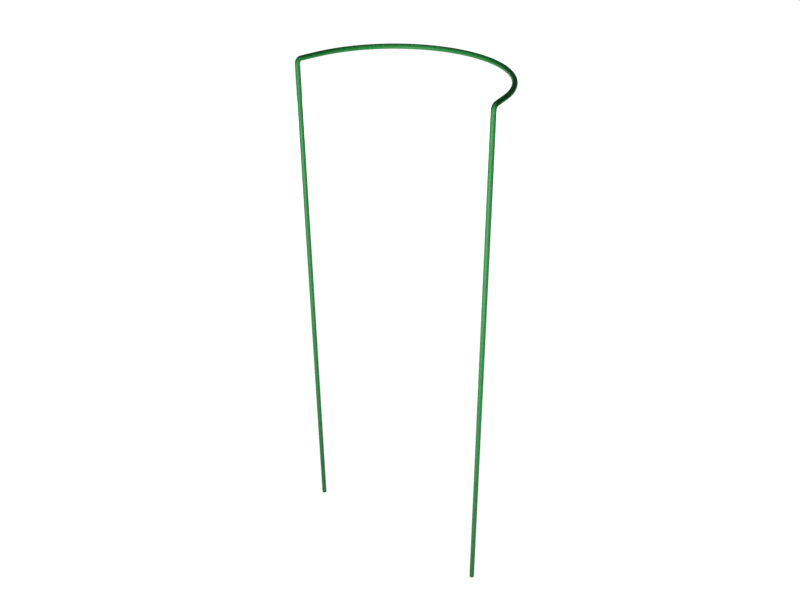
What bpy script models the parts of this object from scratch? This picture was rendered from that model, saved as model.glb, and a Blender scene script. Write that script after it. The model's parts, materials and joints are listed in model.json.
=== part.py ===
"""Half-round plant support: one bent steel wire inside a green plastic skin.

The wire goes up the left leg, turns through a tight corner into a short straight tail, runs
round the hoop and comes down the right leg the same way. Each piece starts as a flat profile
at the left foot and is drawn along that path to the middle of the hoop, then mirrored, so the
skin follows the wire round every bend.

Origin midway between the two feet, +Z up the legs, +X from the left leg to the right leg,
+Y towards the back of the hoop. The open side faces -Y. Sizes are in metres.
"""

import math

import bmesh
import bpy
from mathutils import Matrix, Vector

# Driving dimensions
OVERALL_HEIGHT = 0.750       # foot to the top of the hoop
HOOP_RADIUS = 0.150          # centre line of the rolled hoop
HOOP_HALF_ANGLE = math.radians(80.0)
TAIL_LENGTH = 0.0257         # straight run between the hoop and each corner bend
CORNER_RADIUS = 0.0063       # centre line of the bend between tail and leg
ROD_DIAMETER = 0.0070        # over the plastic
WIRE_DIAMETER = 0.0055       # bare steel
SKIN_CLEARANCE = 0.0003      # between the steel and the bore of the skin
CUT_EDGE = 0.0002            # softened rim at each cut foot

# Steps along the path and round the wire
SIDES = 16
LEG_STEPS = 12
CORNER_STEPS = 12
TAIL_STEPS = 2
HALF_HOOP_STEPS = 32

ROD_RADIUS = ROD_DIAMETER / 2
WIRE_RADIUS = WIRE_DIAMETER / 2
BORE_RADIUS = WIRE_RADIUS + SKIN_CLEARANCE
LEG_LENGTH = OVERALL_HEIGHT - ROD_RADIUS - CORNER_RADIUS
CORNER_REACH = TAIL_LENGTH + CORNER_RADIUS
HALF_SPACING = HOOP_RADIUS * math.sin(HOOP_HALF_ANGLE) + CORNER_REACH * math.cos(HOOP_HALF_ANGLE)

UP = Vector((0.0, 0.0, 1.0))
TAIL_DIRECTION = Vector((math.cos(HOOP_HALF_ANGLE), math.sin(HOOP_HALF_ANGLE), 0.0))
LEFT_FOOT = Vector((-HALF_SPACING, 0.0, 0.0))

GREEN_PLASTIC = (0.040, 0.215, 0.070, 1.0)
BARE_STEEL = (0.52, 0.53, 0.54, 1.0)


class WireDrawer:
    """Draws the open edges of a profile along the wire's path, as a bending machine feeds it."""

    def __init__(self, mesh, edges, start, heading):
        self.mesh = mesh
        self.edges = edges
        self.place = start
        self.heading = heading

    def feed(self, length, steps):
        """Push the wire straight on."""
        stride = self.heading * (length / steps)
        for _ in range(steps):
            drawn = bmesh.ops.extrude_edge_only(self.mesh, edges=self.edges)["geom"]
            ends = [item for item in drawn if isinstance(item, bmesh.types.BMVert)]
            bmesh.ops.translate(self.mesh, verts=ends, vec=stride)
            self.edges = rim_edges(drawn, ends)
        self.place = self.place + self.heading * length

    def bend(self, towards, radius, angle, steps):
        """Bend the wire round a former that stands to one side of it."""
        centre = self.place + towards * radius
        axis = self.heading.cross(towards)
        drawn = bmesh.ops.spin(
            self.mesh, geom=self.edges, cent=centre, axis=axis, angle=angle, steps=steps,
        )["geom_last"]
        ends = [item for item in drawn if isinstance(item, bmesh.types.BMVert)]
        self.edges = rim_edges(drawn, ends)
        turn = Matrix.Rotation(angle, 3, axis)
        self.place = centre + turn @ (self.place - centre)
        self.heading = turn @ self.heading


def rim_edges(geometry, ends):
    """The drawn edges whose two corners are both on the newest ring."""
    ring = set(ends)
    edges = [item for item in geometry if isinstance(item, bmesh.types.BMEdge)]
    return [edge for edge in edges if ring.issuperset(edge.verts)]


def draw_half(mesh, edges):
    """Leg, corner, tail and half the hoop, from the left foot to the middle of the hoop."""
    wire = WireDrawer(mesh, edges, LEFT_FOOT, UP)
    wire.feed(LEG_LENGTH, LEG_STEPS)
    wire.bend(TAIL_DIRECTION, CORNER_RADIUS, math.pi / 2, CORNER_STEPS)
    wire.feed(TAIL_LENGTH, TAIL_STEPS)
    inwards = TAIL_DIRECTION.cross(UP)
    wire.bend(inwards, HOOP_RADIUS, HOOP_HALF_ANGLE, HALF_HOOP_STEPS)


def foot_circle(mesh, radius):
    """A ring of edges round the left foot, with one corner facing the way the wire will bend."""
    place = Matrix.Translation(LEFT_FOOT) @ Matrix.Rotation(HOOP_HALF_ANGLE, 4, "Z")
    verts = bmesh.ops.create_circle(mesh, segments=SIDES, radius=radius, matrix=place)["verts"]
    return list({edge for vert in verts for edge in vert.link_edges})


def make_piece(name, mesh, rim, colour, roughness, metallic):
    """Soften the cut rim, mirror the half into the whole piece and give it its material."""
    bmesh.ops.bevel(mesh, geom=rim, offset=CUT_EDGE, segments=1, affect="EDGES")
    bmesh.ops.recalc_face_normals(mesh, faces=mesh.faces)
    data = bpy.data.meshes.new(name)
    mesh.to_mesh(data)
    mesh.free()
    data.shade_smooth()
    data.set_sharp_from_angle(angle=math.radians(40.0))

    piece = bpy.data.objects.new(name, data)
    bpy.context.scene.collection.objects.link(piece)
    mirror = piece.modifiers.new("Right half", "MIRROR")
    mirror.merge_threshold = 0.00005

    material = bpy.data.materials.new(name)
    material.use_nodes = True
    shader = material.node_tree.nodes["Principled BSDF"]
    shader.inputs["Base Color"].default_value = colour
    shader.inputs["Roughness"].default_value = roughness
    shader.inputs["Metallic"].default_value = metallic
    data.materials.append(material)


def make_steel_core():
    """Solid wire with a flat cut face at each foot."""
    mesh = bmesh.new()
    rim = foot_circle(mesh, WIRE_RADIUS)
    bmesh.ops.edgenet_fill(mesh, edges=rim)
    draw_half(mesh, rim)
    make_piece("steel_core", mesh, rim, BARE_STEEL, 0.40, 1.0)


def make_plastic_coating():
    """Skin round the whole wire, open at each foot where the steel shows."""
    mesh = bmesh.new()
    rim = foot_circle(mesh, ROD_RADIUS)
    bore = foot_circle(mesh, BORE_RADIUS)
    bmesh.ops.bridge_loops(mesh, edges=rim + bore)
    draw_half(mesh, rim + bore)
    make_piece("plastic_coating", mesh, rim, GREEN_PLASTIC, 0.38, 0.0)


def main():
    for old in list(bpy.data.objects):
        bpy.data.objects.remove(old, do_unlink=True)
    make_steel_core()
    make_plastic_coating()


main()
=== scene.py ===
"""Half-round plant support: the finished skin and steel of one bent, plastic coated wire.

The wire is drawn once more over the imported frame, finely enough to hold what bending and cutting
leave on it: the skin flattens slightly in each corner, wrinkles on the inside of the bend and keeps
the print of the bending jaws, and each foot ends in a sheared face. Every point of the skin and the
steel keeps its place on the straight wire, so streaks and scuffs follow the bends.

Run it as a script. The sidebar panel then lists its steps and their settings.
"""

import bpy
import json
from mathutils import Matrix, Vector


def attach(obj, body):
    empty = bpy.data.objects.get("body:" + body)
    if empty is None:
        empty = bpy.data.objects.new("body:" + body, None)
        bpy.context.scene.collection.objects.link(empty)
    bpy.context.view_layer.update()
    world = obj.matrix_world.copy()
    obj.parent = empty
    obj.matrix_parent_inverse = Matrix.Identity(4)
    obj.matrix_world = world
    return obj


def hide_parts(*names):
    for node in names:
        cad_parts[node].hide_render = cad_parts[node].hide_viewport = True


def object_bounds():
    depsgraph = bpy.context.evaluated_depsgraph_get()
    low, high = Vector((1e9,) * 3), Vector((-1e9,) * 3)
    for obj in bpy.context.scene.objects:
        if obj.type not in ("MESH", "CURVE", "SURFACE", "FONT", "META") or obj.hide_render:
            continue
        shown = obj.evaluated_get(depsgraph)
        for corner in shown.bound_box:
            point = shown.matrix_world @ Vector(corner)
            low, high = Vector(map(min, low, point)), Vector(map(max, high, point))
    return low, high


bl_info = {
    "name": "Half-round plant support",
    "version": (1, 0, 0),
    "blender": (4, 5, 0),
    "location": "View3D > Sidebar > Support",
    "description": "Draws the coated wire of a half-round plant support and sets up its studio",
    "category": "Object",
}

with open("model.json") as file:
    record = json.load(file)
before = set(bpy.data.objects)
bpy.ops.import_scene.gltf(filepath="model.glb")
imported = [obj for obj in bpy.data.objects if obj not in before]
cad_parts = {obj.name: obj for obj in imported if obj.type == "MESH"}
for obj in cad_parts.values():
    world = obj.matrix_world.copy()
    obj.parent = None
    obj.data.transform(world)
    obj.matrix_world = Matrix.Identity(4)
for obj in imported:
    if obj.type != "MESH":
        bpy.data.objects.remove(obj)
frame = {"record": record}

import json
import math
from dataclasses import dataclass

import bmesh
import bpy
from bpy.props import (
    FloatProperty,
    FloatVectorProperty,
    IntProperty,
    PointerProperty,
)
from mathutils import Matrix, Vector, noise

CAD_LOW, CAD_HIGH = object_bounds()
LEFT_FOOT = next(
    Vector(mount["pos_m"]) for mount in frame["record"]["mounts"] if mount["name"] == "left_foot"
)
UP = Vector((0.0, 0.0, 1.0))


# Settings that a user would change

class RouteSettings(bpy.types.PropertyGroup):
    """How the wire runs. The height and the spacing of the feet come from the frame."""

    height: FloatProperty(
        name="Height", description="From the cut feet to the top of the hoop",
        default=CAD_HIGH.z, unit="LENGTH",
    )
    foot_spacing: FloatProperty(
        name="Foot spacing", description="Between the centres of the two feet",
        default=-2 * LEFT_FOOT.x, unit="LENGTH",
    )
    hoop_radius: FloatProperty(
        name="Hoop radius", description="Centre line of the rolled hoop",
        default=0.150, unit="LENGTH",
    )
    hoop_half_angle: FloatProperty(
        name="Hoop half angle", description="Turned by the hoop on each side of its middle",
        default=math.radians(80.0), unit="ROTATION",
    )
    corner_radius: FloatProperty(
        name="Corner radius", description="Centre line of the bend at the top of each leg",
        default=0.0063, unit="LENGTH",
    )


class SkinSettings(bpy.types.PropertyGroup):
    """The green plastic skin and the marks left on it."""

    diameter: FloatProperty(
        name="Rod diameter", description="Over the plastic", default=0.0070, unit="LENGTH",
    )
    sides: IntProperty(name="Sides", description="Points round the skin", default=56)
    flattening: FloatProperty(
        name="Corner flattening", description="Depth lost across a corner bend, each side",
        default=0.00012, unit="LENGTH",
    )
    wrinkle_depth: FloatProperty(
        name="Wrinkle depth", description="Of the folds inside a corner bend",
        default=0.00007, unit="LENGTH",
    )
    wrinkle_pitch: FloatProperty(
        name="Wrinkle pitch", description="From fold to fold, along the centre line",
        default=0.0021, unit="LENGTH",
    )
    jaw_print: FloatProperty(
        name="Jaw print", description="Depth pressed into the skin by the bending jaws",
        default=0.00006, unit="LENGTH",
    )
    colour: FloatVectorProperty(
        name="Colour", description="Green of the plastic",
        default=(0.020, 0.245, 0.048), subtype="COLOR", size=3, min=0.0, max=1.0,
    )
    stretched_colour: FloatVectorProperty(
        name="Stretched colour", description="Paler green where bending stretches the plastic",
        default=(0.034, 0.285, 0.072), subtype="COLOR", size=3, min=0.0, max=1.0,
    )
    roughness: FloatProperty(
        name="Roughness", description="Of the untouched skin", default=0.45, subtype="FACTOR",
    )
    specular: FloatProperty(
        name="Specular", description="Strength of the satin gloss", default=0.25, subtype="FACTOR",
    )


class SteelSettings(bpy.types.PropertyGroup):
    """The bare wire, which shows at its two cut ends."""

    diameter: FloatProperty(
        name="Wire diameter", description="Of the bare steel", default=0.0055, unit="LENGTH",
    )
    sides: IntProperty(name="Sides", description="Points round the wire", default=40)
    shear_relief: FloatProperty(
        name="Shear relief", description="Depth to which the shear shapes a cut face",
        default=0.00025, unit="LENGTH",
    )
    colour: FloatVectorProperty(
        name="Colour", description="Drawn steel",
        default=(0.52, 0.53, 0.54), subtype="COLOR", size=3, min=0.0, max=1.0,
    )
    torn_colour: FloatVectorProperty(
        name="Torn colour", description="Dull grain where the wire broke in the shear",
        default=(0.30, 0.30, 0.30), subtype="COLOR", size=3, min=0.0, max=1.0,
    )


class StudioSettings(bpy.types.PropertyGroup):
    """Camera, floor and lamps."""

    camera_place: FloatVectorProperty(
        name="Camera", description="Where the camera stands",
        default=(0.69916, -0.85153, 1.0879), subtype="TRANSLATION", unit="LENGTH", size=3,
    )
    camera_yaw: FloatProperty(
        name="Yaw", description="Turn of the view from the +Y axis, to the right",
        default=math.radians(-38.7434), unit="ROTATION",
    )
    camera_pitch: FloatProperty(
        name="Pitch", description="Slope of the view below the horizon",
        default=math.radians(30.581), unit="ROTATION",
    )
    camera_roll: FloatProperty(
        name="Roll", description="Tilt of the picture",
        default=math.radians(-0.4071), unit="ROTATION",
    )
    camera_lens: FloatProperty(
        name="Lens", description="Focal length on a 36 mm wide sensor",
        default=41.557, unit="CAMERA",
    )
    floor_colour: FloatVectorProperty(
        name="Floor", description="Matt white sheet under the support",
        default=(0.80, 0.80, 0.80), subtype="COLOR", size=3, min=0.0, max=1.0,
    )
    floor_glow: FloatProperty(
        name="Floor glow", description="Lifts the sheet to white where the camera sees it",
        default=0.89, min=0.0, max=1.0,
    )
    front_power: FloatProperty(
        name="Front box", description="Wide soft lamp in front, to the right",
        default=12.2, unit="POWER",
    )
    rear_power: FloatProperty(
        name="Rear box", description="Soft lamp low behind the left leg",
        default=11.0, unit="POWER",
    )
    low_power: FloatProperty(
        name="Low box", description="Gridded lamp near the floor, aimed up at the hoop",
        default=4.1, unit="POWER",
    )
    top_power: FloatProperty(
        name="Top box", description="Weak soft lamp overhead", default=5.8, unit="POWER",
    )


class SupportSettings(bpy.types.PropertyGroup):
    """All settings of the plant support."""

    route: PointerProperty(type=RouteSettings)
    skin: PointerProperty(type=SkinSettings)
    steel: PointerProperty(type=SteelSettings)
    studio: PointerProperty(type=StudioSettings)


# The wire's route

WORKED_LENGTH = 0.030       # of a leg below its corner, drawn finely for the jaw prints
FOOT_LENGTH = 0.006         # of a leg above its cut end, drawn finely too

LEG_STEP = 0.0040
FOOT_STEP = 0.0010
WORKED_STEP = 0.0010
CORNER_STEP = 0.0002
HOOP_STEP = 0.0020

STEEL_COARSENESS = 3.0      # times the steps of the skin
BORE_COARSENESS = 6.0


@dataclass
class Station:
    """One place on the centre line, with the directions of the wire's section there."""

    place: Vector
    heading: Vector
    side: Vector
    along: float
    curve: Vector

    def direction(self, angle):
        """Unit vector in the section; angle 0 faces the centre of the corner bends."""
        across = self.heading.cross(self.side)
        return self.side * math.cos(angle) + across * math.sin(angle)


class BentWire:
    """Feeds and bends the wire, and keeps a station at each step."""

    def __init__(self, place, heading, side, coarseness):
        self.place = place
        self.heading = heading
        self.side = side
        self.coarseness = coarseness
        self.along = 0.0
        self.stations = []
        self.mark(Vector())

    def mark(self, curve):
        """Keep a station. The curve points to the centre of the bend and is 1 / radius long."""
        self.stations.append(
            Station(self.place.copy(), self.heading.copy(), self.side.copy(), self.along, curve)
        )

    def steps(self, length, spacing):
        """How many steps take the wire over a length."""
        return max(1, round(length / (spacing * self.coarseness)))

    def feed(self, length, spacing):
        """Push the wire straight on."""
        steps = self.steps(length, spacing)
        for _ in range(steps):
            self.place = self.place + self.heading * (length / steps)
            self.along += length / steps
            self.mark(Vector())

    def bend(self, towards, radius, angle, spacing):
        """Bend the wire round a former that stands to one side of it."""
        centre = self.place + towards * radius
        axis = self.heading.cross(towards)
        steps = self.steps(radius * angle, spacing)
        turn = Matrix.Rotation(angle / steps, 3, axis)
        for _ in range(steps):
            self.place = centre + turn @ (self.place - centre)
            self.heading = (turn @ self.heading).normalized()
            self.side = (turn @ self.side).normalized()
            self.along += radius * angle / steps
            self.mark((centre - self.place).normalized() / radius)


def draw_route(route, rod_radius, coarseness=1.0):
    """The whole wire, from the left foot round the hoop to the right foot."""
    half_angle = route.hoop_half_angle
    half_spacing = route.foot_spacing / 2
    reach = (half_spacing - route.hoop_radius * math.sin(half_angle)) / math.cos(half_angle)
    tail = reach - route.corner_radius
    leg = route.height - rod_radius - route.corner_radius
    plain = leg - WORKED_LENGTH - FOOT_LENGTH

    left_tail = Vector((math.cos(half_angle), math.sin(half_angle), 0.0))
    wire = BentWire(Vector((-half_spacing, 0.0, 0.0)), UP, left_tail, coarseness)
    wire.feed(FOOT_LENGTH, FOOT_STEP)
    wire.feed(plain, LEG_STEP)
    wire.feed(WORKED_LENGTH, WORKED_STEP)
    wire.bend(left_tail, route.corner_radius, math.pi / 2, CORNER_STEP)
    wire.feed(tail, WORKED_STEP)
    wire.bend(wire.heading.cross(UP), route.hoop_radius, 2 * half_angle, HOOP_STEP)
    wire.feed(tail, WORKED_STEP)
    wire.bend(-UP, route.corner_radius, math.pi / 2, CORNER_STEP)
    wire.feed(WORKED_LENGTH, WORKED_STEP)
    wire.feed(plain, LEG_STEP)
    wire.feed(FOOT_LENGTH, FOOT_STEP)
    return wire.stations


# Marks on the skin

def smooth_step(value):
    """0 below 0, 1 above 1, and a soft rise between."""
    value = min(1.0, max(0.0, value))
    return value * value * (3.0 - 2.0 * value)


def bell(distance, width):
    """1 at no distance, falling off softly."""
    return math.exp(-(distance / width) ** 2)


class Relief:
    """How far the skin stands from its plain round section, and how far it is stretched."""

    TIGHT = 50.0                # 1 / radius in metres, above which a bend is a corner
    TRANSITION = 0.0050         # how far a corner's squeeze runs on into the straight wire

    JAW_LENGTH = 0.016
    JAW_GAP = 0.0035            # between the end of the bend and the jaw
    JAW_EDGE = 0.0012           # over which a print fades out along the wire
    JAW_REACH = 0.16            # share of the radius, down from the crest, that a jaw touches

    FOLD_SINK = 0.4             # share of their depth by which the folds lie under the skin
    FOLD_FADE = 2.5             # power by which they fade round the flanks
    FOLD_STOP = 3               # power by which they fade at the ends of the bend
    FOLD_WANDER = 0.35          # turns by which they stray from their pitch
    FOLD_GRAIN = (1.3, 400.0)   # of that straying, round the wire and along it
    FOLD_SLICE = 7.0            # of the noise that it is read from

    TWIST = 2.4                 # radians that the wire has turned over each metre
    DIE_LINES = (               # angle in radians, height, and half width in radians
        (0.35, 0.000020, 0.10),
        (2.55, -0.000014, 0.07),
        (4.40, 0.000012, 0.16),
    )
    RIPPLE = 0.000010
    RIPPLE_GRAIN = 90.0         # along the wire

    def __init__(self, stations, skin):
        self.skin = skin
        tight = [station.along for station in stations if station.curve.length > self.TIGHT]
        middle = stations[-1].along / 2
        first = [along for along in tight if along < middle]
        last = [along for along in tight if along > middle]
        self.corners = ((first[0], first[-1]), (last[0], last[-1]))

    def squeeze(self, along):
        """1 inside a corner bend, falling to 0 just beyond it."""
        best = 0.0
        for start, end in self.corners:
            outside = max(start - along, along - end, 0.0)
            best = max(best, 1.0 - smooth_step(outside / self.TRANSITION))
        return best

    def jaw(self, along):
        """1 where a jaw gripped the wire beside a corner bend."""
        best = 0.0
        for start, end in self.corners:
            for near, way in ((start - self.JAW_GAP, -1.0), (end + self.JAW_GAP, 1.0)):
                inside = (along - near) * way
                edge = min(inside, self.JAW_LENGTH - inside) / self.JAW_EDGE
                best = max(best, smooth_step(edge))
        return best

    def fold(self, along, angle):
        """Folds that squeeze up on the inside of a corner bend and fade round its flanks."""
        inward = math.cos(angle)
        if inward <= 0.0:
            return 0.0
        round_grain, along_grain = self.FOLD_GRAIN
        where = Vector((angle * round_grain, along * along_grain, self.FOLD_SLICE))
        wander = self.FOLD_WANDER * noise.noise(where)
        wave = math.sin(math.tau * (along / self.skin.wrinkle_pitch + wander)) - self.FOLD_SINK
        return self.skin.wrinkle_depth * wave * inward ** self.FOLD_FADE

    def corner_height(self, along, angle):
        """Flattening and folds of a corner bend."""
        squeeze = self.squeeze(along)
        if squeeze == 0.0:
            return 0.0
        oval = math.sin(angle) ** 2 - math.cos(angle) ** 2
        flattened = self.skin.flattening * squeeze * oval
        return flattened + self.fold(along, angle) * squeeze ** self.FOLD_STOP

    def jaw_height(self, along, angle):
        """Flats that the jaws left on the inner and the outer side of the bend."""
        touched = 1.0 - smooth_step((1.0 - abs(math.cos(angle))) / self.JAW_REACH)
        return -self.skin.jaw_print * self.jaw(along) * touched

    def drawn_height(self, along, angle):
        """Lines that the die left along the wire, and a faint ripple."""
        turned = angle + self.TWIST * along
        rise = 0.0
        for place, line_height, width in self.DIE_LINES:
            apart = math.remainder(turned - place, math.tau)
            rise += line_height * bell(apart, width)
        where = Vector((math.cos(turned), math.sin(turned), along * self.RIPPLE_GRAIN))
        return rise + self.RIPPLE * noise.noise(where)

    def height(self, along, angle):
        """Added to the radius of the skin."""
        worked = self.corner_height(along, angle) + self.jaw_height(along, angle)
        return worked + self.drawn_height(along, angle)

    def strain(self, station, angle):
        """Stretch of the skin along the wire: 1 outside a corner bend, -1 inside it."""
        corner = -math.cos(angle) * self.squeeze(station.along)
        hoop = -station.curve.dot(station.direction(angle)) * self.skin.diameter / 2
        return corner if abs(corner) > abs(hoop) else hoop


# Rings round the wire

BORE_CLEARANCE = 0.00001    # between the drawn steel and the drawn bore

CUT_BACK = 0.00002          # from the plane of the feet to the cut plastic
CUT_ROUNDING = 0.00030      # of the outer edge of the cut plastic
CUT_SHOULDER = 0.3          # share of the rounding at which its middle ring lies
OUTER_RAGGEDNESS = 0.00010
BORE_RAGGEDNESS = 0.00006
RAGGED_GRAIN = 2.5          # round the wire


@dataclass
class Ring:
    """A closed loop of points round the wire, with what each point knows of the wire."""

    points: list
    straight: list          # where each point was on the straight wire
    strain: list
    wall: float             # 1 on a cut face and in the bore, 0 on the outside


def lifted_ring(station, radii, strain, lift, wall):
    """Points at the given radii round a station, each lifted along the wire."""
    sides = len(radii)
    points = []
    straight = []
    for number, (radius, rise) in enumerate(zip(radii, lift)):
        angle = math.tau * number / sides
        points.append(station.place + station.direction(angle) * radius + station.heading * rise)
        straight.append(
            Vector((radius * math.cos(angle), radius * math.sin(angle), station.along + rise))
        )
    return Ring(points, straight, strain, wall)


def plain_ring(station, radius, sides, wall):
    """A round ring, square to the wire."""
    flat = [0.0] * sides
    return lifted_ring(station, [radius] * sides, flat, flat, wall)


def marked_ring(station, skin, relief):
    """A ring of the outer skin, with its marks."""
    angles = [math.tau * number / skin.sides for number in range(skin.sides)]
    radii = [skin.diameter / 2 + relief.height(station.along, angle) for angle in angles]
    strain = [relief.strain(station, angle) for angle in angles]
    return lifted_ring(station, radii, strain, [0.0] * skin.sides, 0.0)


def into_the_wire(station):
    """Sign of the way into the wire at a foot: the heading points in at the left foot alone."""
    return 1.0 if station.along == 0.0 else -1.0


def cut_ring(station, radius, sides, rise, raggedness):
    """A ring of the cut plastic, which the shear leaves slightly uneven."""
    inward = into_the_wire(station)
    lift = []
    for number in range(sides):
        angle = math.tau * number / sides
        where = Vector(
            (math.cos(angle) * RAGGED_GRAIN, math.sin(angle) * RAGGED_GRAIN, station.along)
        )
        lift.append(inward * (rise + raggedness * (0.5 + noise.noise(where))))
    return lifted_ring(station, [radius] * sides, [0.0] * sides, lift, 1.0)


def rounded_cut(station, skin):
    """Rings over the outer edge of the cut plastic, from its cut face to the skin."""
    shoulder = CUT_ROUNDING * CUT_SHOULDER
    edge = ((CUT_BACK, CUT_ROUNDING), (shoulder, shoulder), (CUT_ROUNDING, 0.0))
    return [
        cut_ring(station, skin.diameter / 2 - shrink, skin.sides, rise, OUTER_RAGGEDNESS)
        for rise, shrink in edge
    ]


def coating_rings(settings):
    """Outer skin from foot to foot, then the bore back again."""
    skin = settings.skin
    bore = settings.steel.diameter / 2 + BORE_CLEARANCE
    outside = draw_route(settings.route, skin.diameter / 2)
    inside = draw_route(settings.route, skin.diameter / 2, BORE_COARSENESS)
    relief = Relief(outside, skin)
    left_foot = outside[0]
    right_foot = outside[-1]

    rings = rounded_cut(left_foot, skin)
    rings += [marked_ring(station, skin, relief) for station in outside[1:-1]]
    rings += reversed(rounded_cut(right_foot, skin))
    rings.append(cut_ring(right_foot, bore, skin.sides, CUT_BACK, BORE_RAGGEDNESS))
    rings += [plain_ring(station, bore, skin.sides, 1.0) for station in reversed(inside[1:-1])]
    rings.append(cut_ring(left_foot, bore, skin.sides, CUT_BACK, BORE_RAGGEDNESS))
    return rings


class ShearedFace:
    """Shape of a cut end of the steel. Places on it are shares of the wire's radius."""

    RINGS = (0.02, 0.15, 0.28, 0.40, 0.52, 0.63, 0.73, 0.82, 0.90, 0.96, 1.0)
    BACK = 0.00005              # from the plane of the feet to the smooth half, in metres
    TEAR_START = -0.15          # across the face, where the smooth half ends
    TEAR_END = 0.10             # and where the torn half begins
    ROLL_START = 0.86           # out from the middle, where the edge begins to roll over
    ROLL_SIDE = 0.5             # across the face, beyond which no edge is rolled
    ROLL_FADE = 0.8             # across the face, over which the roll reaches its full depth
    GRAIN = 6.0                 # of the torn half
    TORN_DEPTH = 0.45           # shares of the shear relief
    GRAIN_DEPTH = 0.10
    ROLLED_DEPTH = 0.8

    def __init__(self, steel):
        self.steel = steel

    def depth(self, share, angle, along):
        """How far the face lies inside the wire's end: rolled over on one side, torn on the other."""
        across = share * math.cos(angle)
        upward = share * math.sin(angle)
        torn = smooth_step((across - self.TEAR_START) / (self.TEAR_END - self.TEAR_START))
        grain = noise.noise(Vector((across * self.GRAIN, upward * self.GRAIN, along)))
        rolled = smooth_step((share - self.ROLL_START) / (1.0 - self.ROLL_START))
        rolled *= smooth_step((self.ROLL_SIDE - across) / self.ROLL_FADE)
        torn_depth = self.TORN_DEPTH * torn + self.GRAIN_DEPTH * torn * grain
        return self.BACK + self.steel.shear_relief * (torn_depth + self.ROLLED_DEPTH * rolled)

    def ring(self, station, share):
        """A ring of the cut face."""
        sides = self.steel.sides
        inward = into_the_wire(station)
        lift = []
        for number in range(sides):
            angle = math.tau * number / sides
            lift.append(inward * self.depth(share, angle, station.along))
        radii = [self.steel.diameter / 2 * share] * sides
        return lifted_ring(station, radii, [0.0] * sides, lift, 1.0)


def core_rings(settings):
    """The wire from foot to foot, with a sheared face at each end."""
    steel = settings.steel
    radius = steel.diameter / 2
    stations = draw_route(settings.route, settings.skin.diameter / 2, STEEL_COARSENESS)
    face = ShearedFace(steel)
    rings = [face.ring(stations[0], share) for share in face.RINGS]
    rings += [plain_ring(station, radius, steel.sides, 0.0) for station in stations[1:-1]]
    rings += [face.ring(stations[-1], share) for share in reversed(face.RINGS)]
    return rings


# Meshes

MAP_COLUMNS = 10
MAP_MARGIN = 0.06           # clear share at each side of a column
MAP_FILL = 0.97             # share of the map's height that a column fills
MAP_FOOT = 0.012            # clear share under a column
SHORTEST_GAP = 1e-6         # from ring to ring on the map


def lengths_to_rings(rings):
    """Mean length along the surface from the first ring to each ring."""
    lengths = [0.0]
    for before, after in zip(rings, rings[1:]):
        gaps = [(there - here).length for here, there in zip(before.points, after.points)]
        lengths.append(lengths[-1] + max(sum(gaps) / len(gaps), SHORTEST_GAP))
    return lengths


def lay_out_map(mesh, rings):
    """Unrolls the rings into columns side by side, as a map for colours that are painted on."""
    layer = mesh.uv_layers.new(name="OFBake")
    sides = len(rings[0].points)
    lengths = lengths_to_rings(rings)
    total = lengths[-1]
    corners = ((0, 0), (0, 1), (1, 1), (1, 0))
    for face in mesh.polygons:
        ring = face.index // sides
        side = face.index % sides
        column = min(int(lengths[ring] / total * MAP_COLUMNS), MAP_COLUMNS - 1)
        for loop, (more_along, more_round) in zip(face.loop_indices, corners):
            length = lengths[min(ring + more_along, len(lengths) - 1)]
            across = (side + more_round) / sides
            u = (column + MAP_MARGIN + (1 - 2 * MAP_MARGIN) * across) / MAP_COLUMNS
            v = (length / total * MAP_COLUMNS - column) * MAP_FILL + MAP_FOOT
            layer.uv[loop].vector = (u, v)


def ring_faces(count, sides, closed):
    """Quads from ring to ring. A closed run joins its last ring to its first."""
    faces = []
    for ring in range(count if closed else count - 1):
        here = ring * sides
        there = ((ring + 1) % count) * sides
        for side in range(sides):
            after = (side + 1) % sides
            faces.append((here + side, here + after, there + after, there + side))
    return faces


def mesh_from_rings(name, rings, closed):
    """A mesh whose points keep their place on the straight wire, their strain and their wall."""
    sides = len(rings[0].points)
    points = [point for ring in rings for point in ring.points]
    straight = [number for ring in rings for point in ring.straight for number in point]
    strain = [value for ring in rings for value in ring.strain]
    wall = [ring.wall for ring in rings for _ in range(sides)]
    mesh = bpy.data.meshes.new(name)
    mesh.from_pydata(points, [], ring_faces(len(rings), sides, closed))
    lay_out_map(mesh, rings)
    mesh.attributes.new("straight", "FLOAT_VECTOR", "POINT").data.foreach_set("vector", straight)
    mesh.attributes.new("strain", "FLOAT", "POINT").data.foreach_set("value", strain)
    mesh.attributes.new("wall", "FLOAT", "POINT").data.foreach_set("value", wall)
    mesh.shade_smooth()
    return mesh


def put_in_scene(mesh, name, node, material):
    """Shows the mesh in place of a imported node."""
    piece = bpy.data.objects.new(name, mesh)
    bpy.context.scene.collection.objects.link(piece)
    mesh.materials.append(material)
    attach(piece, "root")
    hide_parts(node)


def close_ends(mesh, sides):
    """Fills the small hole in the middle of each cut face of the steel."""
    count = len(mesh.vertices)
    work = bmesh.new()
    work.from_mesh(mesh)
    work.verts.ensure_lookup_table()
    work.faces.new([work.verts[number] for number in reversed(range(sides))])
    work.faces.new([work.verts[count - sides + number] for number in range(sides)])
    work.to_mesh(mesh)
    work.free()


# Materials

SCUFF_COVER = 0.30          # how far a scuff covers the green
SCUFF_SHADE = 1.25          # of the stretched colour, in a scuff
SCUFF_DULLNESS = 0.12       # added to the roughness in a scuff
STRETCH_DULLNESS = 0.08     # added to it where the skin is stretched
STREAK_GLOSS = 0.04         # how far the streaks lower the roughness
STREAK_DULLNESS = 0.05      # and how far they raise it
TORN_ROUGHNESS = 0.62       # of the torn steel


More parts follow.
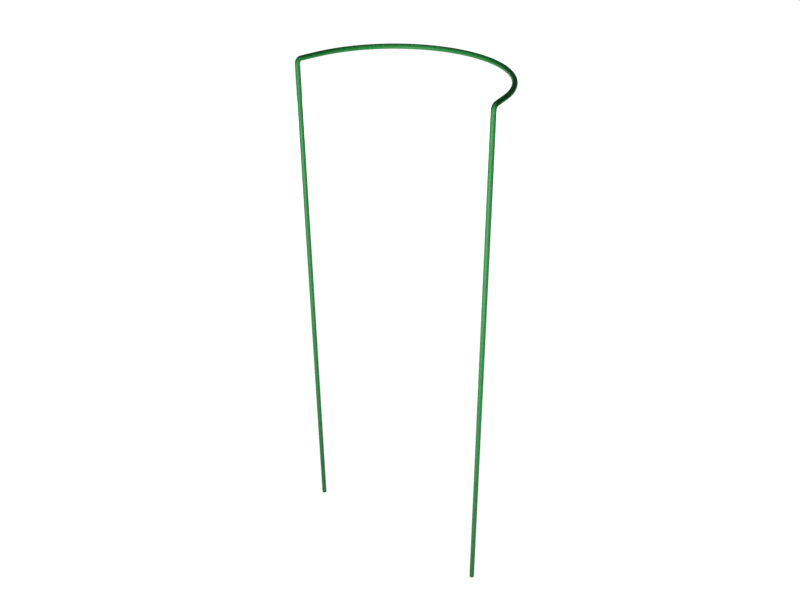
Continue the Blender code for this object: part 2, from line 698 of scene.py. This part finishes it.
class NodePad:
    """Adds shader nodes to a material and joins them."""

    def __init__(self, name="", tree=None):
        if tree is None:
            self.material = bpy.data.materials.new(name)
            self.material.use_nodes = True
            tree = self.material.node_tree
            self.shader = tree.nodes["Principled BSDF"]
        self.tree = tree

    def add(self, kind, **settings):
        """A node, with its sockets set from values or joined to other nodes' outputs."""
        node = self.tree.nodes.new(kind)
        sockets = settings.pop("sockets", {})
        for name, value in settings.items():
            setattr(node, name, value)
        for name, value in sockets.items():
            self.join(value, node.inputs[name])
        return node

    def join(self, value, socket):
        """Joins an output to a socket, or sets the socket to a plain value."""
        if isinstance(value, bpy.types.NodeSocket):
            self.tree.links.new(value, socket)
        else:
            socket.default_value = value

    def attribute(self, name, output):
        return self.add("ShaderNodeAttribute", attribute_name=name).outputs[output]

    def scaled(self, vector, scale):
        node = self.add("ShaderNodeMapping", sockets={"Vector": vector, "Scale": scale})
        return node.outputs["Vector"]

    def streaks(self, vector, scale, detail, stretch):
        """Noise on the straight wire. A stretch under 1 draws it out along the wire."""
        drawn_out = self.scaled(vector, (1.0, 1.0, stretch))
        sockets = {"Vector": drawn_out, "Scale": scale, "Detail": detail}
        return self.add("ShaderNodeTexNoise", sockets=sockets).outputs["Fac"]

    def ramp(self, value, low, high, to_low=0.0, to_high=1.0):
        """A soft rise from to_low to to_high while the value goes from low to high."""
        node = self.add(
            "ShaderNodeMapRange", interpolation_type="SMOOTHSTEP",
            sockets={
                "Value": value, "From Min": low, "From Max": high,
                "To Min": to_low, "To Max": to_high,
            },
        )
        return node.outputs["Result"]

    def math(self, operation, first, second):
        node = self.add("ShaderNodeMath", operation=operation)
        self.join(first, node.inputs[0])
        self.join(second, node.inputs[1])
        return node.outputs["Value"]

    def mix_colour(self, share, first, second):
        node = self.add("ShaderNodeMix", data_type="RGBA")
        self.join(share, node.inputs["Factor"])
        self.join(first, node.inputs["A"])
        self.join(second, node.inputs["B"])
        return node.outputs["Result"]

    def vary(self, colour, share, darkest, lightest):
        """The colour, from its darkest shade where the share is 0 to its lightest where it is 1."""
        return self.mix_colour(share, shade(colour, darkest), shade(colour, lightest))

    def mix_value(self, share, first, second):
        sockets = {"Factor": share, "A": first, "B": second}
        return self.add("ShaderNodeMix", data_type="FLOAT", sockets=sockets).outputs["Result"]

    def bump(self, height, distance, normal=None):
        """A normal that follows the height, on top of the given normal."""
        node = self.add("ShaderNodeBump", sockets={"Height": height, "Distance": distance})
        if normal is not None:
            self.tree.links.new(normal, node.inputs["Normal"])
        return node.outputs["Normal"]


def shade(colour, factor):
    """The colour times a factor, as a colour socket takes it."""
    return (colour[0] * factor, colour[1] * factor, colour[2] * factor, 1.0)


def green_plastic(skin):
    """Satin extruded skin: drawn-out streaks, fine peel, light scuffs, paler where stretched."""
    pad = NodePad("satin_green_skin")
    straight = pad.attribute("straight", "Vector")
    drawn = pad.streaks(straight, scale=900.0, detail=3.0, stretch=0.02)
    cloudy = pad.streaks(straight, scale=60.0, detail=2.0, stretch=0.35)
    peel = pad.streaks(straight, scale=2600.0, detail=2.0, stretch=0.6)
    scratchy = pad.streaks(straight, scale=520.0, detail=4.0, stretch=0.10)
    scuffs = pad.ramp(scratchy, low=0.60, high=0.72)
    stretched = pad.ramp(pad.attribute("strain", "Fac"), low=0.10, high=0.95, to_high=0.8)

    clouds = pad.ramp(cloudy, low=0.30, high=0.70)
    green = pad.vary(skin.colour, clouds, darkest=0.94, lightest=1.06)
    green = pad.mix_colour(stretched, green, shade(skin.stretched_colour, 1.0))
    scuffed = pad.math("MULTIPLY", scuffs, SCUFF_COVER)
    green = pad.mix_colour(scuffed, green, shade(skin.stretched_colour, SCUFF_SHADE))
    pad.join(green, pad.shader.inputs["Base Color"])

    rough = pad.ramp(
        drawn, low=0.25, high=0.75,
        to_low=skin.roughness - STREAK_GLOSS, to_high=skin.roughness + STREAK_DULLNESS,
    )
    rough = pad.math("ADD", rough, pad.math("MULTIPLY", scuffs, SCUFF_DULLNESS))
    rough = pad.math("ADD", rough, pad.math("MULTIPLY", stretched, STRETCH_DULLNESS))
    pad.join(rough, pad.shader.inputs["Roughness"])
    pad.shader.inputs["Specular IOR Level"].default_value = skin.specular

    normal = pad.bump(drawn, distance=0.000030)
    normal = pad.bump(peel, distance=0.000012, normal=normal)
    normal = pad.bump(scuffs, distance=0.000008, normal=normal)
    pad.join(normal, pad.shader.inputs["Normal"])
    return pad.material


def torn_half(pad, straight, radius):
    """1 on the torn half of a cut face, 0 on its smooth half and on the drawn side."""
    across = pad.add("ShaderNodeSeparateXYZ", sockets={"Vector": straight}).outputs["X"]
    torn = pad.ramp(
        across, low=ShearedFace.TEAR_START * radius, high=ShearedFace.TEAR_END * radius,
    )
    return pad.math("MULTIPLY", torn, pad.attribute("wall", "Fac"))


def bare_steel(steel):
    """Drawn steel wire: lengthwise drawing lines, and a dull torn grain across half of each cut."""
    pad = NodePad("drawn_steel")
    straight = pad.attribute("straight", "Vector")
    torn = torn_half(pad, straight, steel.diameter / 2)
    grain = pad.streaks(straight, scale=3500.0, detail=4.0, stretch=1.0)
    lines = pad.streaks(straight, scale=2400.0, detail=3.0, stretch=0.01)
    smeared = pad.scaled(straight, (0.05, 1.0, 1.0))
    smears = pad.streaks(smeared, scale=3800.0, detail=3.0, stretch=1.0)

    lined = pad.ramp(lines, low=0.3, high=0.7)
    bright = pad.vary(steel.colour, lined, darkest=0.86, lightest=1.08)
    grained = pad.ramp(grain, low=0.3, high=0.7)
    dull = pad.vary(steel.torn_colour, grained, darkest=0.75, lightest=1.25)
    pad.join(pad.mix_colour(torn, bright, dull), pad.shader.inputs["Base Color"])

    smooth = pad.ramp(smears, low=0.3, high=0.7, to_low=0.24, to_high=0.38)
    pad.join(pad.mix_value(torn, smooth, TORN_ROUGHNESS), pad.shader.inputs["Roughness"])
    pad.shader.inputs["Metallic"].default_value = 1.0

    normal = pad.bump(smears, distance=0.000010)
    torn_grain = pad.math("MULTIPLY", grain, torn)
    normal = pad.bump(torn_grain, distance=0.000060, normal=normal)
    pad.join(normal, pad.shader.inputs["Normal"])
    return pad.material


# Studio

FLOOR_RADIUS = 12.0
FLOOR_DROP = 0.0001         # keeps the floor clear of the feet
FLOOR_SIDES = 96
GLOW_NEAR = 0.35            # from the origin, out to which the floor keeps its set glow
GLOW_FAR = 2.5              # from the origin, beyond which it glows fully

CANOPY_RADIUS = 3.2
CANOPY_HEIGHT = 2.7
CANOPY_SIDES = 48
CLOTH_COLOUR = (0.02, 0.02, 0.02, 1.0)

WORLD_STRENGTH = 0.05       # for light that the camera doesn't see directly
SENSOR_WIDTH = 36.0         # millimetres
CLIP_START = 0.01


def add_softbox(name, place, target, size, power, spread=math.pi):
    """A soft rectangular lamp at a place, turned to a target."""
    data = bpy.data.lights.new(name, "AREA")
    data.shape = "RECTANGLE"
    data.size, data.size_y = size
    data.energy = power
    data.spread = spread
    lamp = bpy.data.objects.new(name, data)
    lamp.location = place
    lamp.rotation_mode = "QUATERNION"
    lamp.rotation_quaternion = (Vector(place) - Vector(target)).to_track_quat("Z", "Y")
    lamp.visible_camera = False
    bpy.context.scene.collection.objects.link(lamp)


def add_lamps(studio):
    """Light from the front and from low down, and little from above, so the hoop's top stays dark."""
    middle = (0.0, 0.05, 0.40)
    hoop = (0.0, 0.05, 0.75)
    add_softbox(
        "front_box", place=(0.75, -2.05, 0.55), target=middle, size=(1.6, 1.0),
        power=studio.front_power,
    )
    add_softbox(
        "rear_box", place=(-1.20, 1.84, 0.30), target=middle, size=(2.4, 0.5),
        power=studio.rear_power,
    )
    add_softbox(
        "low_box", place=(0.34, -0.94, 0.20), target=hoop, size=(0.8, 0.5),
        power=studio.low_power, spread=math.radians(95.0),
    )
    add_softbox(
        "top_box", place=(0.0, -0.3, 2.4), target=middle, size=(1.2, 1.2),
        power=studio.top_power,
    )


def stage_object(name, mesh, material):
    """Links an object of the studio and gives it its material."""
    thing = bpy.data.objects.new(name, mesh)
    bpy.context.scene.collection.objects.link(thing)
    mesh.materials.append(material)
    return thing


def circle(radius, height, count):
    """Points of a level circle round the origin."""
    angles = [math.tau * number / count for number in range(count)]
    return [(radius * math.cos(angle), radius * math.sin(angle), height) for angle in angles]


def white_to_camera(pad):
    """1 for light that the camera sees directly, in gloss or through glass, 0 for all other light."""
    path = pad.add("ShaderNodeLightPath")
    direct = pad.math("MAXIMUM", path.outputs["Is Camera Ray"], path.outputs["Is Glossy Ray"])
    return pad.math("MAXIMUM", direct, path.outputs["Is Transmission Ray"])


def sheet_glow(pad, studio):
    """A glow for the camera and for gloss, fuller far out, where the lamps hardly reach."""
    distance = pad.add("ShaderNodeVectorMath", operation="LENGTH")
    pad.join(pad.add("ShaderNodeNewGeometry").outputs["Position"], distance.inputs[0])
    strength = pad.ramp(
        distance.outputs["Value"], low=GLOW_NEAR, high=GLOW_FAR, to_low=studio.floor_glow,
    )
    glow = pad.add("ShaderNodeEmission")
    pad.join(pad.math("MULTIPLY", white_to_camera(pad), strength), glow.inputs["Strength"])
    return glow.outputs["Emission"]


def white_sheet(studio):
    """Matt sheet that shows white, and takes shadows. From below it is clear."""
    pad = NodePad("white_sheet")
    pad.tree.nodes.remove(pad.shader)
    matt = pad.add("ShaderNodeBsdfDiffuse", sockets={"Color": (*studio.floor_colour, 1.0)})
    lit = pad.add("ShaderNodeAddShader")
    pad.join(matt.outputs["BSDF"], lit.inputs[0])
    pad.join(sheet_glow(pad, studio), lit.inputs[1])
    clear = pad.add("ShaderNodeBsdfTransparent")
    below = pad.add("ShaderNodeNewGeometry").outputs["Backfacing"]
    both = pad.add("ShaderNodeMixShader", sockets={"Fac": below})
    pad.join(lit.outputs["Shader"], both.inputs[1])
    pad.join(clear.outputs["BSDF"], both.inputs[2])
    pad.join(both.outputs["Shader"], pad.tree.nodes["Material Output"].inputs["Surface"])
    return pad.material


def add_floor(studio):
    """A wide pale floor just under the feet."""
    mesh = bpy.data.meshes.new("floor")
    rim = circle(FLOOR_RADIUS, -FLOOR_DROP, FLOOR_SIDES)
    mesh.from_pydata(rim, [], [tuple(range(FLOOR_SIDES))])
    stage_object("floor", mesh, white_sheet(studio))


def dark_cloth():
    """Matt black cloth, which returns hardly any light."""
    pad = NodePad("dark_cloth")
    pad.shader.inputs["Base Color"].default_value = CLOTH_COLOUR
    pad.shader.inputs["Roughness"].default_value = 1.0
    return pad.material


def add_canopy():
    """A dark round room, which keeps light from elsewhere off the wire. The camera sees through it."""
    count = CANOPY_SIDES
    points = circle(CANOPY_RADIUS, CANOPY_HEIGHT, count) + circle(CANOPY_RADIUS, 0.0, count)
    faces = [tuple(range(count))]
    for number in range(count):
        after = (number + 1) % count
        faces.append((count + number, count + after, after, number))
    mesh = bpy.data.meshes.new("canopy")
    mesh.from_pydata(points, [], faces)
    canopy = stage_object("canopy", mesh, dark_cloth())
    canopy.visible_camera = False


def add_world():
    """White to the camera, in gloss and through glass, and dim for everything else."""
    world = bpy.data.worlds.new("studio")
    bpy.context.scene.world = world
    world.use_nodes = True
    pad = NodePad(tree=world.node_tree)
    background = pad.tree.nodes["Background"]
    background.inputs["Color"].default_value = (1.0, 1.0, 1.0, 1.0)
    strength = pad.ramp(white_to_camera(pad), low=0.0, high=1.0, to_low=WORLD_STRENGTH)
    pad.join(strength, background.inputs["Strength"])


def view_axes(yaw, pitch, roll):
    """The camera's axes: to its right, to its top and back from the view."""
    forward = Vector((
        math.sin(yaw) * math.cos(pitch), math.cos(yaw) * math.cos(pitch), -math.sin(pitch),
    ))
    level = Vector((math.cos(yaw), -math.sin(yaw), 0.0))
    upward = level.cross(forward)
    right = level * math.cos(roll) + upward * math.sin(roll)
    top = upward * math.cos(roll) - level * math.sin(roll)
    return Matrix((right, top, -forward))


def add_camera(studio):
    """The camera of the photograph."""
    camera = bpy.data.objects.new("camera", bpy.data.cameras.new("camera"))
    axes = view_axes(studio.camera_yaw, studio.camera_pitch, studio.camera_roll)
    camera.matrix_world = Matrix.Translation(studio.camera_place) @ axes.transposed().to_4x4()
    camera.data.lens = studio.camera_lens
    camera.data.sensor_width = SENSOR_WIDTH
    camera.data.clip_start = CLIP_START
    bpy.context.scene.collection.objects.link(camera)
    bpy.context.scene.camera = camera


# Steps

class SUPPORT_OT_draw_core(bpy.types.Operator):
    """Draw the steel wire with its two sheared ends"""

    bl_idname = "support.draw_core"
    bl_label = "Draw steel core"
    bl_options = {"REGISTER", "UNDO"}

    def execute(self, context):
        settings = context.scene.plant_support
        mesh = mesh_from_rings("steel_wire", core_rings(settings), closed=False)
        close_ends(mesh, settings.steel.sides)
        put_in_scene(mesh, "steel_wire", "steel_core", bare_steel(settings.steel))
        return {"FINISHED"}


class SUPPORT_OT_draw_coating(bpy.types.Operator):
    """Draw the plastic skin with the marks of extrusion, bending and cutting"""

    bl_idname = "support.draw_coating"
    bl_label = "Draw plastic coating"
    bl_options = {"REGISTER", "UNDO"}

    def execute(self, context):
        settings = context.scene.plant_support
        mesh = mesh_from_rings("plastic_skin", coating_rings(settings), closed=True)
        put_in_scene(
            mesh, "plastic_skin", "plastic_coating", green_plastic(settings.skin),
        )
        return {"FINISHED"}


class SUPPORT_OT_set_studio(bpy.types.Operator):
    """Lay the floor, hang the lamps and place the camera"""

    bl_idname = "support.set_studio"
    bl_label = "Set up studio"
    bl_options = {"REGISTER", "UNDO"}

    def execute(self, context):
        studio = context.scene.plant_support.studio
        add_floor(studio)
        add_canopy()
        add_world()
        add_lamps(studio)
        add_camera(studio)
        context.scene.view_settings.view_transform = "Standard"
        return {"FINISHED"}


class SUPPORT_PT_steps(bpy.types.Panel):
    """Steps and settings of the plant support"""

    bl_idname = "SUPPORT_PT_steps"
    bl_label = "Half-round plant support"
    bl_space_type = "VIEW_3D"
    bl_region_type = "UI"
    bl_category = "Support"

    def draw(self, context):
        settings = context.scene.plant_support
        for step in STEPS:
            self.layout.operator(step.bl_idname)
        for name, group in (
            ("Route", settings.route), ("Skin", settings.skin),
            ("Steel", settings.steel), ("Studio", settings.studio),
        ):
            box = self.layout.box()
            box.label(text=name)
            for field in group.__annotations__:
                box.prop(group, field)


STEPS = (SUPPORT_OT_draw_core, SUPPORT_OT_draw_coating, SUPPORT_OT_set_studio)
CLASSES = (
    RouteSettings, SkinSettings, SteelSettings, StudioSettings, SupportSettings,
    *STEPS, SUPPORT_PT_steps,
)


def register():
    for item in CLASSES:
        bpy.utils.register_class(item)
    bpy.types.Scene.plant_support = PointerProperty(type=SupportSettings)


def unregister():
    del bpy.types.Scene.plant_support
    for item in reversed(CLASSES):
        bpy.utils.unregister_class(item)


def main():
    register()
    bpy.ops.support.draw_core()
    bpy.ops.support.draw_coating()
    bpy.ops.support.set_studio()


if __name__ == "__main__":
    main()
